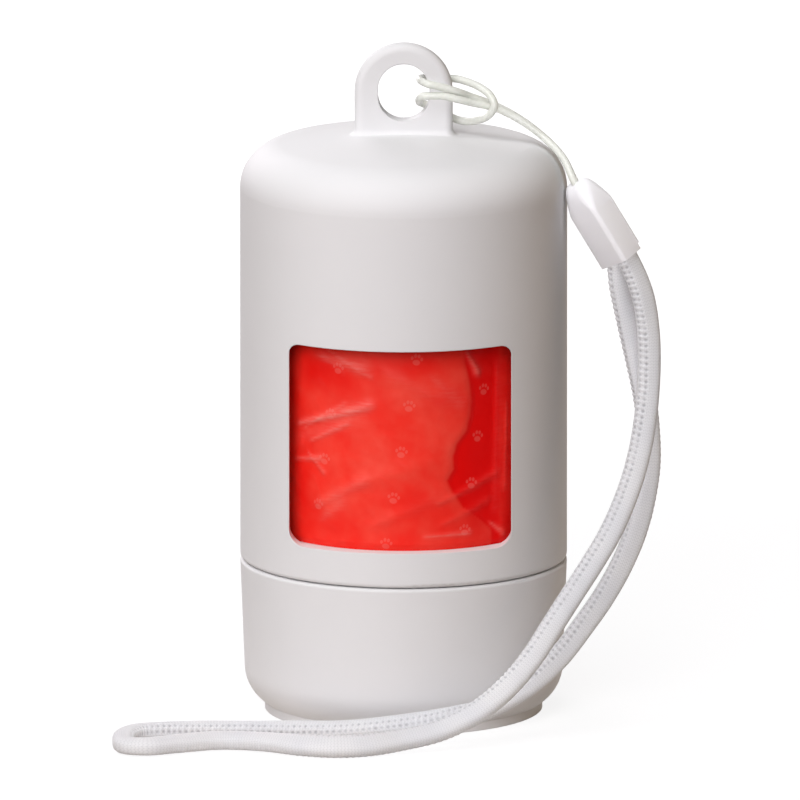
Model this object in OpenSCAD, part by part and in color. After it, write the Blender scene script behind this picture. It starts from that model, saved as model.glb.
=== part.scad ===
// Dispenser for a roll of dog waste bags, with a wrist lanyard.
// A domed round housing sits over a round cap and locks to it with a short twist. The
// cap carries the roll, and the bags are drawn out through the window in the housing.
// Millimetres, +Z up. The window faces -Y. The origin is the centre of the foot.

/* [Housing] */
// Outside diameter of the housing
body_d = 40; // [38:0.5:48]
// Wall of the housing
housing_wall = 1.9; // [1.7:0.1:2.4]
// Radius of the shoulder between the side and the dome
shoulder_r = 5.5; // [4:0.1:8]
// Radius of the dome's shallow crown
crown_r = 88; // [60:1:200]
// Free height between the roll and the inside of the dome
headroom = 5.5; // [3:0.5:12]
// Rounding of the housing's lower rim
rim_r = 0.5; // [0.2:0.05:0.8]

/* [Window] */
// Width of the window, measured across the front
window_w = 27.1; // [18:0.1:30]
// Height of the window
window_h = 25.1; // [15:0.1:34]
// Angle that the window is turned to the left of the tab's face
window_turn = 1.7; // [0:0.1:4]
// Radius of the window's upper corners
window_top_r = 1.3; // [0.8:0.1:4]
// Radius of the window's lower corners
window_bottom_r = 1.9; // [0.8:0.1:4]
// Height of the sill over the top of the cap's neck
sill_gap = 0.25; // [0.15:0.05:3]

/* [Tab] */
// Width of the lanyard tab on the dome
tab_w = 12; // [10.5:0.1:14]
// Thickness of the tab
tab_t = 2.5; // [2.2:0.1:3.2]
// Rounding of the tab's rim
tab_edge_r = 0.95; // [0.4:0.05:1]
// Height of the tab's eye over the top of the dome
eye_rise = 5.15; // [4.8:0.05:7]
// Width of the tab's eye
eye_w = 6.3; // [5:0.1:6.6]
// Height of the tab's eye
eye_h = 7.1; // [6.8:0.1:7.6]
// Spread of the flare where the tab meets the dome
flare_r = 0.8; // [0.4:0.1:1.5]

/* [Cap] */
// Height of the cap's seat, where the housing rests
seam_z = 18.8; // [16:0.1:24]
// Amount that the cap's side draws in towards the foot
cap_taper = 0.5; // [0.1:0.05:1]
// Radius of the cap's lower edge
cap_edge_r = 5; // [3:0.1:6]
// Rounding of the cap's upper rim
cap_rim_r = 0.4; // [0.2:0.05:0.7]
// Radius of the foot ring
foot_r = 17; // [15.5:0.1:17.5]
// Height of the foot ring
foot_h = 0.4; // [0.2:0.1:1]
// Width of the foot ring
foot_ring_w = 2; // [1:0.1:4]
// Thickness of the cap's floor
floor_t = 2.2; // [1.6:0.1:3]
// Radius inside the cap, between its floor and its side, at most the roll's clearance
cap_inner_size = 0.7; // [0.3:0.1:3]

/* [Twist lock] */
// Height of the neck that enters the housing
neck_h = 4.2; // [4.1:0.1:6]
// Wall of the neck
neck_wall = 1.05; // [0.9:0.05:1.4]
// Gap between the neck and the housing, on the radius
neck_gap = 0.15; // [0.1:0.05:0.3]
// Height of the open gap at the seam
seam_gap = 0.15; // [0.05:0.05:0.3]
// Number of lugs on the neck
lugs = 3; // [2:1:4]
// Angle that one lug covers
lug_angle = 14; // [10:1:20]
// Height of a lug
lug_h = 1.6; // [1.2:0.1:2]
// Distance that a lug stands out of the neck
lug_reach = 0.95; // [0.6:0.05:1.1]
// Height of the lug's underside over the seam
lug_rise = 1.8; // [1.4:0.1:2]
// Clearance over and outside a lug in its slot
lug_gap = 0.2; // [0.1:0.05:0.4]
// Play of a lug in its slot, as an angle on each side
slot_play = 1; // [0.5:0.25:1.5]
// Turn from the open position to the locked one
lock_turn = 32; // [20:1:40]

/* [Roll] */
// Length of the roll of bags
roll_len = 62; // [50:1:70]
// Clearance between the roll and the inside of the neck, on the radius
roll_gap = 0.7; // [0.4:0.1:3]
// Number of winds that show as steps at the roll's ends
winds = 9; // [4:1:14]
// Most that one wind stands past the next
wind_step = 0.35; // [0:0.05:0.6]
// Inside diameter of the roll's core
core_d = 12; // [10:0.5:16]
// Wall of the core
core_wall = 1; // [0.6:0.1:1.5]
// Running clearance of the core on the post and of the roll on the core, on the radius
running_gap = 0.05; // [0.02:0.01:0.1]
// Height of the post over the cap's floor
post_h = 9; // [6:0.5:20]
// Wall of the post
post_wall = 1.4; // [1:0.1:2]
// Gap under the core and the roll
under_gap = 0.1; // [0.05:0.05:0.3]

/* [Loose bag] */
// Thickness of the loosened outer bag, with its folds
bag_t = 0.35; // [0.2:0.05:0.5]
// Gap between the bulge of the outer bag and the housing, on the radius
bulge_gap = 0.5; // [0.3:0.05:1.2]
// Angle that the outer bag goes round the roll
bag_wrap = 334; // [300:1:350]
// Distance that the outer bag stops short of the roll's ends
bag_short = 1.2; // [0.5:0.1:4]
// Fullness of the bulge: 1 is a plain half wave, and less is fuller
bulge_power = 0.6; // [0.4:0.05:1]

/* [Lanyard] */
// Width of the knitted wrist strap
strap_w = 2.8; // [2.4:0.1:3.2]
// Thickness of the knitted wrist strap
strap_t = 2; // [1.6:0.1:2.2]
// Diameter of the thin hitch cord
cord_d = 0.95; // [0.8:0.05:1]
// Diameter of the knot inside the ferrule
knot_d = 2.6; // [2.2:0.1:2.8]

/* [Ferrule] */
// Length of the ferrule
ferrule_len = 11.1; // [10:0.1:13]
// Wall of the ferrule
ferrule_wall = 0.35; // [0.3:0.05:0.5]
// Thickness of the ferrule's lid
lid_t = 0.6; // [0.5:0.05:0.8]
// Distance that the lid stops short of the mouth
lid_short = 0.75; // [0.3:0.05:1.2]
// Play between the strap's two ends and the ferrule, across the stack
stack_gap = 0.2; // [0.15:0.05:0.4]
// Depth of the strap's seat in the ferrule
strap_seat = 5.2; // [4.8:0.1:6]
// Rounding of the ferrule's long edges
ferrule_edge_r = 0.6; // [0.3:0.05:0.7]
// Length of the ferrule's narrowing top
ferrule_top = 3.4; // [2.4:0.1:3.6]
// Rounding of the corners round the ferrule's top
ferrule_top_r = 1.5; // [1:0.1:1.5]
// Distance that the rounded top draws in on each side
ferrule_draw = 0.2; // [0:0.05:0.2]
// Clearance between the knot and the end of the strap's seat
knot_gap = 1.9; // [1.8:0.1:2.2]
// Play round the knot in its chamber
knot_play = 0.05; // [0.05:0.05:0.1]
// Play of the strap in the ferrule, across its width on each side
seat_play = 0.05; // [0.05:0.05:0.15]

/* [Hidden] */
$fn = 96;

// Amount that one solid runs into another where the two are joined or cut
lap = 1;
full_turn = 360;
half_turn = 180;
// Angle between the points of the outer bag's bulge
bulge_step = 15;
// Direction of the back, where the first lug stands and the outer bag's edges meet
back_a = 90;
// Facets on the small rounded pieces
small_fn = 32;
// Facets on the dome's crown, which is part of a very large circle
crown_fn = 384;

body_r = body_d / 2;
bore_r = body_r - housing_wall;
rim_z = seam_z + seam_gap;
neck_r = bore_r - neck_gap;
cap_bore_r = neck_r - neck_wall;
neck_top_z = seam_z + neck_h;
cap_inner_r = min(cap_inner_size, roll_gap);

roll_bottom_z = floor_t + under_gap;
roll_top_z = roll_bottom_z + roll_len;
roll_r = cap_bore_r - roll_gap;
core_r = core_d / 2 + core_wall;
post_r = core_d / 2 - running_gap;
// Angle that sets how the winds' heights vary from one to the next
wind_beat = 100;

dome_z = roll_top_z + headroom + housing_wall;
shoulder_x = body_r - shoulder_r;
crown_z = dome_z - crown_r;
shoulder_z = crown_z + sqrt(pow(crown_r - shoulder_r, 2) - pow(shoulder_x, 2));
crown_end_x = shoulder_x * crown_r / (crown_r - shoulder_r);

window_z = neck_top_z + sill_gap;
eye_z = dome_z + eye_rise;
tab_r = tab_w / 2;

lug_z = seam_z + lug_rise;
lug_outer_r = neck_r + lug_reach;
slot_r = lug_outer_r + lug_gap;
slot_top_z = lug_z + lug_h + lug_gap;
slot_half = lug_angle / 2 + slot_play;

// The ferrule hangs on the cord: its mouth, its lean and its turn about its own axis
ferrule_mouth = [26.6, -4.6, 56.9];
ferrule_lean = -31;
ferrule_turn = -45;
stack_half = strap_t + stack_gap / 2;
seat_half = strap_w / 2 + seat_play;
knot_z = strap_seat + knot_d / 2 + knot_gap;
cord_hole_r = 1.1;

// Sides of the thin cord's outline
cord_sides = 8;
// Share of the strap's width and of its thickness that is flat
strap_flat = 0.6;
strap_flat_t = 0.4;

// Route of the wrist strap: each point, and the way the strap's flat side faces there.
// It leaves the ferrule, comes down in front of its other run, lies on the ground, turns
// at the far end and comes back beside the cap.
strap_route = [
    [[24.9, -5.3, 61.2], [0.6, -0.7, 0.35]],
    [[27.2, -5.3, 57.3], [0.6, -0.7, 0.35]],
    [[29.2, -5.6, 52.5], [0.5, -0.8, 0.3]],
    [[29.8, -5.9, 48.9], [0.4, -0.9, 0.2]],
    [[30.0, -6.4, 45.3], [0.3, -1, 0.2]],
    [[29.9, -7.0, 41.7], [0.2, -1, 0.1]],
    [[29.6, -7.8, 38.3], [0.1, -1, 0.1]],
    [[29.0, -8.7, 34.5], [0, -1, 0.1]],
    [[28.1, -9.7, 31.0], [0, -1, 0.2]],
    [[26.8, -10.9, 27.5], [0, -1, 0.3]],
    [[25.1, -12.3, 24.0], [0, -1, 0.3]],
    [[22.9, -14.0, 20.6], [0, -1, 0.4]],
    [[20.5, -15.8, 17.2], [0.1, -1, 0.5]],
    [[18.1, -17.8, 13.8], [0.1, -1, 0.6]],
    [[15.9, -19.8, 10.7], [0.1, -1, 0.7]],
    [[13.2, -21.8, 7.7], [0.1, -0.9, 0.8]],
    [[9.7, -23.6, 4.9], [0.1, -0.7, 0.9]],
    [[4.6, -25.3, 2.5], [0.1, -0.5, 0.8]],
    [[-0.5, -27.1, 1.6], [0, -0.6, 0.8]],
    [[-4.2, -28.9, 1.4], [0, -0.7, 0.7]],
    [[-8.3, -29.8, 1.4], [0, -0.7, 0.7]],
    [[-12.7, -28.8, 1.4], [0, -0.6, 0.8]],
    [[-16.6, -26.7, 1.3], [0, -0.3, 1]],
    [[-22.5, -25.3, 1.2], [0, -0.2, 1]],
    [[-27.6, -27.2, 1.2], [0, -0.2, 1]],
    [[-31.6, -28.8, 1.2], [0, -0.1, 1]],
    [[-33.6, -27.9, 1.1], [0, 0, 1]],
    [[-34.1, -25.1, 1.1], [0, 0, 1]],
    [[-33.9, -22.7, 1.1], [0, 0, 1]],
    [[-32.4, -20.2, 1.1], [0, 0, 1]],
    [[-29.6, -19.3, 1.1], [0, 0, 1]],
    [[-25.0, -18.8, 1.1], [0, -0.1, 1]],
    [[-19.0, -18.8, 1.1], [0, -0.1, 1]],
    [[-13.0, -19.3, 1.2], [0, -0.2, 1]],
    [[-8.0, -20.4, 1.4], [0, -0.3, 1]],
    [[-3.5, -21.3, 1.9], [0, -0.4, 0.9]],
    [[1.0, -21.7, 2.5], [0.1, -0.5, 0.8]],
    [[5.5, -21.3, 3.1], [0.2, -0.6, 0.8]],
    [[9.6, -20.1, 3.8], [0.3, -0.6, 0.8]],
    [[13.0, -18.2, 5.1], [0.3, -0.7, 0.7]],
    [[16.0, -16.8, 6.9], [0.3, -0.8, 0.6]],
    [[19.0, -15.0, 9.4], [0.3, -0.9, 0.5]],
    [[21.9, -13.0, 12.8], [0.3, -0.9, 0.4]],
    [[24.6, -10.9, 16.3], [0.3, -0.9, 0.3]],
    [[26.7, -9.2, 19.8], [0.3, -0.9, 0.2]],
    [[28.3, -7.8, 23.4], [0.3, -0.9, 0.1]],
    [[29.4, -6.7, 27.4], [0.3, -0.9, 0.1]],
    [[30.0, -5.9, 31.6], [0.3, -0.9, 0]],
    [[29.9, -5.3, 35.8], [0.3, -0.9, 0]],
    [[29.4, -4.9, 40.0], [0.3, -0.9, 0.1]],
    [[28.4, -4.4, 44.6], [0.4, -0.9, 0.1]],
    [[27.3, -4.1, 49.3], [0.5, -0.8, 0.2]],
    [[26.4, -4.0, 53.4], [0.6, -0.7, 0.3]],
    [[26.0, -3.9, 56.5], [0.6, -0.7, 0.35]],
    [[23.6, -3.9, 60.5], [0.6, -0.7, 0.35]]
];

// Route of the hitch cord: from the knot over the shoulder, across the front of the tab's
// limb, back through the eye, out as the bight and in front of both runs, and home again
cord_route = [
    [21.8, -4.1, 64.9], [20.8, -4.0, 66.6], [19.6, -2.1, 68.7], [17.3, 0.0, 70.9],
    [14.1, 0.6, 73.3], [11.4, 0.6, 74.8], [8.3, 0.0, 76.1], [6.4, -1.5, 77.1],
    [4.6, -1.9, 77.7], [2.9, -1.9, 78.1], [2.2, -1.2, 78.3], [2.0, 0.0, 78.3],
    [2.2, 1.2, 78.2], [3.0, 1.9, 78.1], [4.6, 1.9, 78.0], [6.4, 1.8, 78.0],
    [8.0, 1.0, 77.7], [9.4, -0.3, 77.3], [10.6, -1.3, 76.5], [11.1, -1.8, 75.4],
    [10.4, -1.3, 74.1], [8.9, -0.1, 73.2], [6.9, 1.4, 72.9], [5.0, 1.9, 73.6],
    [3.3, 2.0, 74.5], [2.1, 1.5, 75.1], [1.9, 0.2, 75.5], [1.9, -0.9, 76.0],
    [2.2, -1.7, 76.5], [3.4, -1.9, 76.6], [4.8, -1.9, 76.6], [6.5, -1.9, 76.2],
    [8.4, -1.1, 75.6], [11.3, -0.5, 74.8], [14.1, -0.5, 73.4], [17.3, -0.9, 71.1],
    [19.6, -3.1, 68.9], [20.8, -5.0, 66.6], [21.8, -5.1, 64.9]
];

function unit(v) = v / norm(v);

function way(points, i) =
    unit(points[min(i + 1, len(points) - 1)] - points[max(i - 1, 0)]);

// Sideways directions carried along a route, each turned as little as possible
function carried(points, side, i = 0) = i == len(points) ? [] :
    let (t = way(points, i), here = unit(side - (side * t) * t))
    concat([here], carried(points, here, i + 1));

function round_outline(d, sides) =
    [for (k = [0 : sides - 1]) d / 2 * [cos(k * full_turn / sides), sin(k * full_turn / sides)]];

// Eight-sided outline of the strap: a flat oval with its corners cut
function strap_outline(w, t) =
    let (x = w / 2, y = t / 2, flat_x = strap_flat * x, flat_y = strap_flat_t * y)
    [
        [x, -flat_y], [x, flat_y], [flat_x, y], [-flat_x, y],
        [-x, flat_y], [-x, -flat_y], [-flat_x, -y], [flat_x, -y]
    ];

// Closed tube through a list of points: an outline in the plane of each side and normal
module swept(points, sides, outline) {
    n = len(outline);
    last = (len(points) - 1) * n;
    spots = [for (i = [0 : len(points) - 1])
        let (t = way(points, i), side = unit(sides[i] - (sides[i] * t) * t), up = cross(t, side))
        for (q = outline) points[i] + q.x * side + q.y * up];
    walls = [for (a = [0 : n : last - n], k = [0 : n - 1])
        let (low = a + k, next = a + (k + 1) % n)
        each [[low + n, next + n, next], [low + n, next, low]]];
    ends = [[for (k = [0 : n - 1]) k], [for (k = [0 : n - 1]) last + n - 1 - k]];
    polyhedron(spots, concat(walls, ends));
}

// Sector of a ring about Z, from one angle to the other
module ring_sector(r_in, r_out, z_low, z_high, from_a, to_a) {
    rotate([0, 0, from_a])
        rotate_extrude(angle = to_a - from_a)
            translate([r_in, z_low])
                square([r_out - r_in, z_high - z_low]);
}

// Half section of a domed shell: the side, the shoulder and the crown, shrunk by inset
module dome_section(inset, low_z) {
    r = shoulder_r - inset;
    side_x = body_r - inset;
    translate([0, low_z])
        square([side_x, shoulder_z - low_z]);
    translate([shoulder_x, shoulder_z])
        circle(r);
    intersection() {
        translate([0, crown_z])
            circle(crown_r - inset, $fn = crown_fn);
        translate([0, shoulder_z])
            square([crown_end_x - inset * shoulder_x / (crown_r - shoulder_r), dome_z]);
    }
}

// Window outline, centred across and standing on its sill
module window_outline() {
    half = window_w / 2;
    translate([-half, window_bottom_r])
        square([window_w, window_h - window_bottom_r - window_top_r]);
    translate([-half + window_bottom_r, 0])
        square([window_w - 2 * window_bottom_r, window_bottom_r + window_top_r]);
    translate([-half + window_top_r, window_h - window_top_r - window_bottom_r])
        square([window_w - 2 * window_top_r, window_top_r + window_bottom_r]);
    for (side = [-1, 1]) {
        translate([side * (half - window_bottom_r), window_bottom_r])
            circle(window_bottom_r);
        translate([side * (half - window_top_r), window_h - window_top_r])
            circle(window_top_r);
    }
}

// Half section of the tab, from its middle out to its rounded rim
module tab_section() {
    flat = tab_t / 2 - tab_edge_r;
    translate([0, -tab_t / 2])
        square([tab_r - tab_edge_r, tab_t]);
    translate([0, -flat])
        square([tab_r, 2 * flat]);
    for (side = [-1, 1])
        translate([tab_r - tab_edge_r, side * flat])
            circle(tab_edge_r);
}

// Hollow corner between a wall at x = 0 and a floor at y = 0
module flare_section() {
    difference() {
        translate([-tab_edge_r / 2, -tab_edge_r / 2])
            square(flare_r + tab_edge_r / 2);
        translate([flare_r, flare_r])
            circle(flare_r);
    }
}

// Flare round the foot of the tab, which runs out on the dome
module tab_flare() {
    along = tab_r - tab_edge_r;
    across = tab_t / 2 - tab_edge_r;
    reach = tab_r + flare_r;
    translate([0, 0, crown_z + sqrt(pow(crown_r, 2) - pow(reach, 2))])
        for (side = [0, 1], face = [0, 1])
            mirror([side, 0, 0])
                mirror([0, face, 0]) {
                    translate([along, across, 0])
                        rotate_extrude(angle = 90)
                            translate([tab_edge_r, 0])
                                flare_section();
                    translate([tab_r, across, 0])
                        rotate([90, 0, 0])
                            linear_extrude(across)
                                flare_section();
                    translate([0, tab_t / 2, 0])
                        rotate([90, 0, 90])
                            linear_extrude(along)
                                flare_section();
                }
}

module tab() {
    root_z = dome_z - housing_wall / 2;
    spread = (eye_h - eye_w) / 2;
    difference() {
        union() {
            translate([0, 0, eye_z])
                rotate([90, 0, 0])
                    rotate_extrude(angle = half_turn)
                        tab_section();
            translate([0, 0, root_z])
                linear_extrude(eye_z - root_z)
                    for (side = [0, 1])
                        mirror([side, 0])
                            tab_section();
            tab_flare();
        }
        translate([0, 0, eye_z])
            rotate([90, 0, 0])
                linear_extrude(tab_t + 2 * lap, center = true) {
                    for (side = [-1, 1])
                        translate([0, side * spread])
                            circle(eye_w / 2);
                    square([eye_w, 2 * spread], center = true);
                }
    }
}

// Slot in the housing's wall for one lug: the way in from below and the run to the lock
module lug_slot() {
    ring_sector(bore_r - lap, slot_r, rim_z - lap, slot_top_z, -slot_half, slot_half);
    run_z = lug_z - lug_gap;
    ring_sector(bore_r - lap, slot_r, run_z, slot_top_z, -slot_half - lock_turn, slot_half);
}

module housing() color("whitesmoke") {
    difference() {
        rotate_extrude() {
            difference() {
                union() {
                    dome_section(0, rim_z + rim_r);
                    translate([0, rim_z])
                        square([body_r - rim_r, 2 * rim_r]);
                    translate([body_r - rim_r, rim_z + rim_r])
                        circle(rim_r);
                }
                dome_section(housing_wall, rim_z - lap);
            }
        }
        translate([0, 0, window_z])
            rotate([90, 0, -window_turn])
                linear_extrude(body_r + lap)
                    window_outline();
        for (k = [0 : lugs - 1])
            rotate([0, 0, back_a + k * full_turn / lugs])
                lug_slot();
    }
    tab();
}

// One lug of the cap's neck, rooted in the neck's wall
module lug() {
    root_r = neck_r - neck_wall / 2;
    ring_sector(root_r, lug_outer_r, lug_z, lug_z + lug_h, -lug_angle / 2, lug_angle / 2);
}

module cap() color("whitesmoke") {
    edge_z = foot_h + cap_edge_r;
    low_r = body_r - cap_taper;
    rim_low_z = seam_z - cap_rim_r;
    rotate_extrude() {
        difference() {
            union() {
                square([foot_r, edge_z]);
                translate([0, foot_h])
                    square([low_r - cap_edge_r, cap_edge_r]);
                translate([low_r - cap_edge_r, edge_z])
                    circle(cap_edge_r);
                polygon([[0, edge_z], [low_r, edge_z], [body_r, rim_low_z], [0, rim_low_z]]);
                translate([0, seam_z - 2 * cap_rim_r])
                    square([body_r - cap_rim_r, 2 * cap_rim_r]);
                translate([body_r - cap_rim_r, rim_low_z])
                    circle(cap_rim_r);
                translate([0, seam_z - lap])
                    square([neck_r, neck_h + lap]);
            }
            translate([0, floor_t + cap_inner_r])
                square([cap_bore_r, neck_top_z]);
            translate([0, floor_t])
                square([cap_bore_r - cap_inner_r, neck_top_z]);
            translate([cap_bore_r - cap_inner_r, floor_t + cap_inner_r])
                circle(cap_inner_r);
            translate([0, -foot_h])
                square([foot_r - foot_ring_w, 2 * foot_h]);
        }
        translate([post_r - post_wall, floor_t / 2])
            square([post_wall, post_h + floor_t / 2]);
    }
    for (k = [0 : lugs - 1])
        rotate([0, 0, back_a + k * full_turn / lugs])
            lug();
}

module roll_core() color("tan") {
    translate([0, 0, roll_bottom_z])
        difference() {
            cylinder(h = roll_len + wind_step, r = core_r);
            translate([0, 0, -lap])
                cylinder(h = roll_len + 2 * lap, d = core_d);
        }
}

// The winds end at slightly different heights, as a roll does that was wound by machine
module bag_roll() color("firebrick") {
    bore = core_r + running_gap;
    step = (roll_r - bore) / winds;
    rises = [for (k = [0 : winds - 1]) wind_step * (1 + sin(k * wind_beat)) / 2];
    low_top_z = roll_top_z - wind_step;
    tops = [for (k = [0 : winds - 1], side = [0, 1])
        [bore + (k + side) * step, low_top_z + rises[k]]];
    feet = [for (k = [winds - 1 : -1 : 0], side = [1, 0])
        [bore + (k + side) * step, roll_bottom_z + rises[k]]];
    rotate_extrude()
        polygon(concat(tops, feet));
}

// The outer bag has come loose and bulges towards the window
module loose_bag() color("red") {
    inner = roll_r + running_gap;
    outer = inner + bag_t;
    low_z = roll_bottom_z + bag_short;
    high_z = roll_top_z - bag_short;
    swell = bore_r - bulge_gap - outer;
    middle_z = window_z + window_h / 2;
    reach_z = window_h / 2 + sill_gap;
    bulge = [for (a = [0 : bulge_step : half_turn])
        [outer + swell * pow(sin(a), bulge_power), middle_z - reach_z * cos(a)]];
    section = concat([[inner, low_z], [outer, low_z]], bulge, [[outer, high_z], [inner, high_z]]);
    rotate([0, 0, back_a + (full_turn - bag_wrap) / 2])
        rotate_extrude(angle = bag_wrap)
            polygon(section);
}

module hitch_cord() color("ivory")
    swept(cord_route, carried(cord_route, [0, 1, 0]), round_outline(cord_d, cord_sides));

module wrist_strap() color("white") {
    points = [for (stop = strap_route) stop[0]];
    sides = [for (i = [0 : len(points) - 1]) cross(strap_route[i][1], way(points, i))];
    swept(points, sides, strap_outline(strap_w, strap_t));
}

// Places its children in the ferrule's own frame: +Z up the axis from the mouth, +X
// across the stacked strap ends, and +Y towards the lid
module at_ferrule() {
    translate(ferrule_mouth)
        rotate([0, ferrule_lean, 0])
            rotate([0, 0, ferrule_turn])
                children();
}

// Outer form of the closed ferrule: a rounded box with a smooth narrowing top
module ferrule_form() {
    half_x = stack_half + ferrule_wall;
    low_y = -seat_half - ferrule_wall;
    high_y = seat_half + lid_t;
    edge = ferrule_edge_r;
    draw = ferrule_top_r + ferrule_draw;
    hull() {
        for (x = [-half_x + edge, half_x - edge], y = [low_y + edge, high_y - edge])
            translate([x, y, 0])
                cylinder(h = ferrule_len - ferrule_top, r = edge, $fn = small_fn);
        for (x = [-half_x + draw, half_x - draw], y = [low_y + draw, high_y - draw])
            translate([x, y, ferrule_len - ferrule_top_r])
                sphere(ferrule_top_r, $fn = small_fn);
    }
}

module ferrule_body() color("white") at_ferrule() {
    wide = 2 * (stack_half + ferrule_wall + lap);
    difference() {
        ferrule_form();
        translate([-wide / 2, seat_half, -lap])
            cube([wide, lid_t + lap, ferrule_len + 2 * lap]);
        translate([-stack_half, -seat_half, -lap])
            cube([2 * stack_half, 2 * seat_half + lap, strap_seat + lap]);
        translate([0, 0, knot_z])
            sphere(knot_d / 2 + knot_play, $fn = small_fn);
        translate([-knot_d / 2, 0, strap_seat - lap])
            cube([knot_d, seat_half + lap, knot_z + knot_d / 2 - strap_seat + lap]);
        translate([0, 0, knot_z])
            cylinder(h = ferrule_len, r = cord_hole_r);
    }
}

module ferrule_lid() color("white") at_ferrule() {
    wide = 2 * (stack_half + ferrule_wall + lap);
    intersection() {
        ferrule_form();
        translate([-wide / 2, seat_half, lid_short])
            cube([wide, lid_t + lap, ferrule_len]);
    }
}

module cord_knot() color("ivory") at_ferrule()
    translate([0, 0, knot_z])
        sphere(knot_d / 2);

housing();
cap();
roll_core();
bag_roll();
loose_bag();
hitch_cord();
cord_knot();
ferrule_body();
ferrule_lid();
wrist_strap();
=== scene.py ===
import bpy
import bmesh
import math
import numpy as np
from functools import partial
from mathutils import Matrix, Vector


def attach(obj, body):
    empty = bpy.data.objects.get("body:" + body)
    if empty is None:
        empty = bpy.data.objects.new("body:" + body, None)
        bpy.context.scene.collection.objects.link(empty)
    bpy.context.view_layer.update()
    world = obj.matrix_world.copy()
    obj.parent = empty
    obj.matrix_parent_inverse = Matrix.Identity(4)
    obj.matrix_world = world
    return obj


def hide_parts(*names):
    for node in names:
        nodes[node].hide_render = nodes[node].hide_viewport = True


# Dispenser for dog waste bags: case, roll, loosened bag and lanyard, in metres
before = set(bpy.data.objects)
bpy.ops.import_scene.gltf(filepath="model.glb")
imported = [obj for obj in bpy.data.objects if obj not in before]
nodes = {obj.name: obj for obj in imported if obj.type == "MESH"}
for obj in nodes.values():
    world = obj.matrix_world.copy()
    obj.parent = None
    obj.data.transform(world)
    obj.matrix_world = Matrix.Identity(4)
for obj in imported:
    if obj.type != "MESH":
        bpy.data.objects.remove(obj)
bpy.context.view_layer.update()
scene = bpy.context.scene
mm = 0.001
white = (1, 1, 1, 1)
print("frame loaded:", len(nodes), "nodes")


def addObject(name, data):
    made = bpy.data.objects.new(name, data)
    scene.collection.objects.link(made)
    return made


def addMesh(name, bm):
    mesh = bpy.data.meshes.new(name)
    bm.to_mesh(mesh)
    bm.free()
    return mesh


# Camera, lamps and floor

cameraValues = {
    "elevation": 11.7,    # degrees above the horizon
    "aim": (-0.00045, 0.0, 0.0383),
    "distance": 4.0,
    "fieldWidth": 0.0979,    # width seen at the aim
    "sensor": 36.0, "clipFrom": 0.1, "clipTo": 30.0,
}


def makeCamera(values):
    camData = bpy.data.cameras.new("camera")
    camData.sensor_width = values["sensor"]
    camData.lens = values["sensor"] * values["distance"] / values["fieldWidth"]
    camData.clip_start = values["clipFrom"]
    camData.clip_end = values["clipTo"]
    cam = addObject("camera", camData)
    tilt = math.radians(values["elevation"])
    back = Vector((0, -math.cos(tilt), math.sin(tilt)))
    cam.location = Vector(values["aim"]) + back * values["distance"]
    cam.rotation_euler = (math.pi / 2 - tilt, 0, 0)
    scene.camera = cam


makeCamera(cameraValues)

lampValues = {
    # azimuth from the front towards the right, elevation, distance, size, power, colour
    "key": (-18, 25, 0.62, 0.40, 2.68, (1.0, 0.97, 1.0)),
    "top": (-42, 66, 0.62, 0.62, 2.30, (1.0, 1.0, 1.0)),
    "rightSide": (100, 15, 0.62, 0.40, 0.38, (1.0, 0.68, 0.38)),
    "leftBack": (-152, 22, 0.62, 0.40, 1.80, (1.0, 0.93, 0.98)),
    "lanyardFill": (18, 2, 0.62, 0.50, 1.20, (0.97, 0.99, 1.0)),    # reaches the lanyard only
}
lampAim = Vector((0, 0, 0.04))


def makeLamp(name, azimuth, elevation, distance, size, power, colour):
    lampData = bpy.data.lights.new(name, "AREA")
    lampData.shape = "DISK"
    lampData.size = size
    lampData.energy = power
    lampData.color = colour
    lamp = addObject(name, lampData)
    a, e = math.radians(azimuth), math.radians(elevation)
    out = Vector((math.sin(a) * math.cos(e), -math.cos(a) * math.cos(e), math.sin(e)))
    lamp.location = lampAim + out * distance
    lamp.rotation_euler = out.to_track_quat("Z", "Y").to_euler()
    lamp.visible_camera = False


for lampName, lampSpec in lampValues.items():
    makeLamp(lampName, *lampSpec)


def linkLamp(lampName, lit=None, shading=None):
    # keep a lamp's light, or the shadows in it, to these pieces
    linking = bpy.data.objects[lampName].light_linking
    for kind, names in (("receiver", lit), ("blocker", shading)):
        if names:
            group = bpy.data.collections.new(lampName + kind.title() + "s")
            for name in names:
                group.objects.link(bpy.data.objects[name])
            setattr(linking, kind + "_collection", group)


def emptyTree(owner):
    owner.use_nodes = True
    owner.node_tree.nodes.clear()
    return owner.node_tree


def startMaterial(name):
    mat = bpy.data.materials.new(name)
    return mat, emptyTree(mat)


def feed(tree, value, socket):
    # put a number or colour into a socket, or link another socket to it
    if isinstance(value, (int, float, tuple)):
        socket.default_value = value
    else:
        tree.links.new(value, socket)


def addNode(tree, kind, inputs=None, **settings):
    # one node with its settings, and its inputs as values or sockets
    made = tree.nodes.new(kind)
    for key, value in settings.items():
        setattr(made, key, value)
    for key, value in (inputs or {}).items():
        feed(tree, value, made.inputs[key])
    return made


def addMath(tree, operation, *terms):
    return addNode(tree, "ShaderNodeMath", dict(enumerate(terms)), operation=operation).outputs[0]


def addMix(tree, factor, a, b):
    return addNode(tree, "ShaderNodeMix", {0: factor, 6: a, 7: b}, data_type="RGBA").outputs[2]


def addRange(tree, value, fromLow, fromHigh, toLow=0.0, toHigh=1.0):
    made = addNode(tree, "ShaderNodeMapRange", {
        "Value": value, "From Min": fromLow, "From Max": fromHigh, "To Min": toLow, "To Max": toHigh})
    return made.outputs[0]


def addNoise(tree, at, scale, detail, roughness=0.5, distortion=0.0):
    return addNode(tree, "ShaderNodeTexNoise", {
        "Vector": at, "Scale": scale, "Detail": detail, "Roughness": roughness,
        "Distortion": distortion}).outputs["Fac"]


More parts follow.
